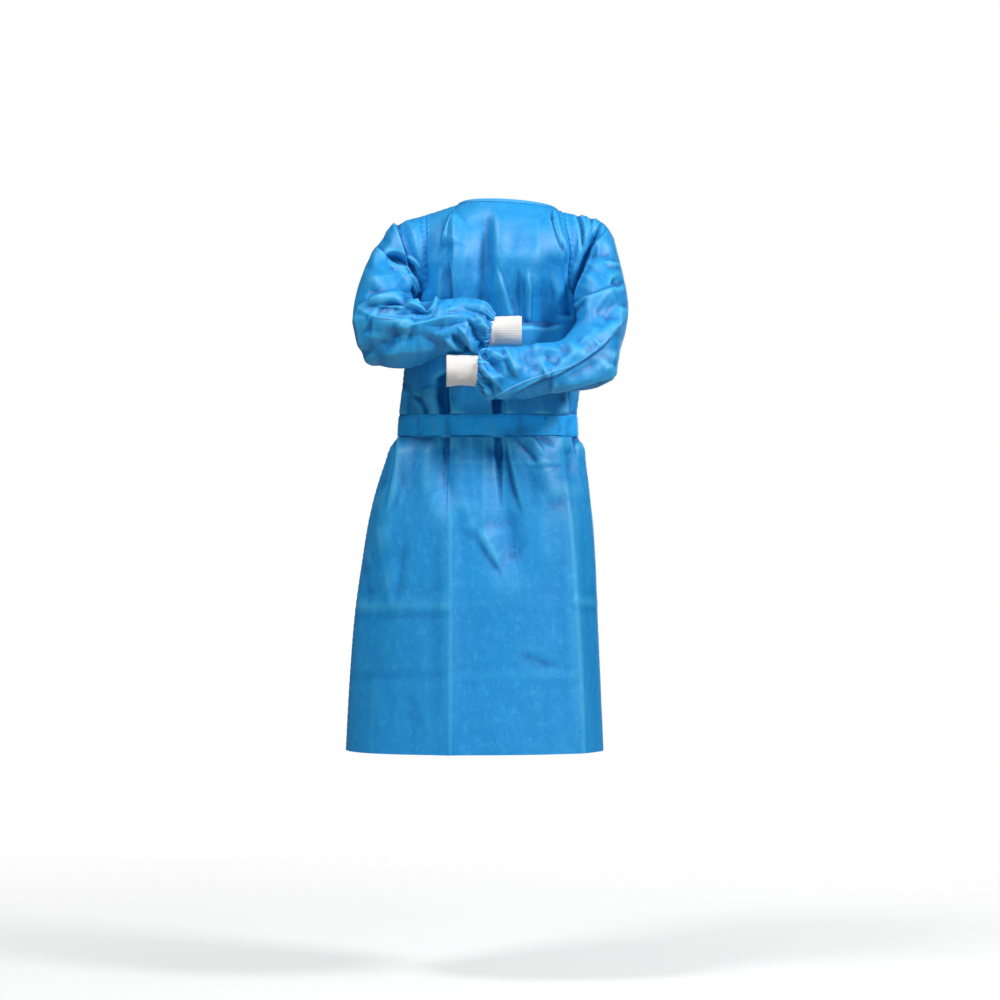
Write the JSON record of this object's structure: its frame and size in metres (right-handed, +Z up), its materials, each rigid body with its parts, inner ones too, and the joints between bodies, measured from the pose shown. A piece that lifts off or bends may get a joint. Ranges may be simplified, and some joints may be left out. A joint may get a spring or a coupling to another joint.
{
  "type": "surgical gown",
  "caption": "Hollow worn surgical gown with folded long sleeves, knitted cuffs, bound neck, tied belt and overlapped open back.",
  "frame": {"origin": "middle of the neck opening at shoulder height, where the gown is held up", "axes": "+Z up, the front of the gown faces -Y, +X is on the right as seen from the front"},
  "size_m": [0.5766, 0.4426, 1.1297],
  "materials": {
    "gown_cloth": "soft matt nonwoven",
    "cuff_knit": "matt rib knit",
    "binding_tape": "soft matt nonwoven tape",
    "belt_cloth": "soft matt nonwoven, two layers"
  },
  "bodies": {
    "root": {"front_panel": "gown_cloth", "back_panel_right": "gown_cloth", "back_panel_left": "gown_cloth", "sleeve_right": "gown_cloth", "sleeve_left": "gown_cloth", "cuff_right": "cuff_knit", "cuff_left": "cuff_knit", "neck_binding": "binding_tape", "neck_knot": "binding_tape", "neck_tail_right": "binding_tape", "neck_tail_left": "binding_tape", "belt_band": "belt_cloth", "belt_knot": "belt_cloth", "belt_tail_right": "belt_cloth", "belt_tail_left": "belt_cloth"}
  },
  "joints": []
}
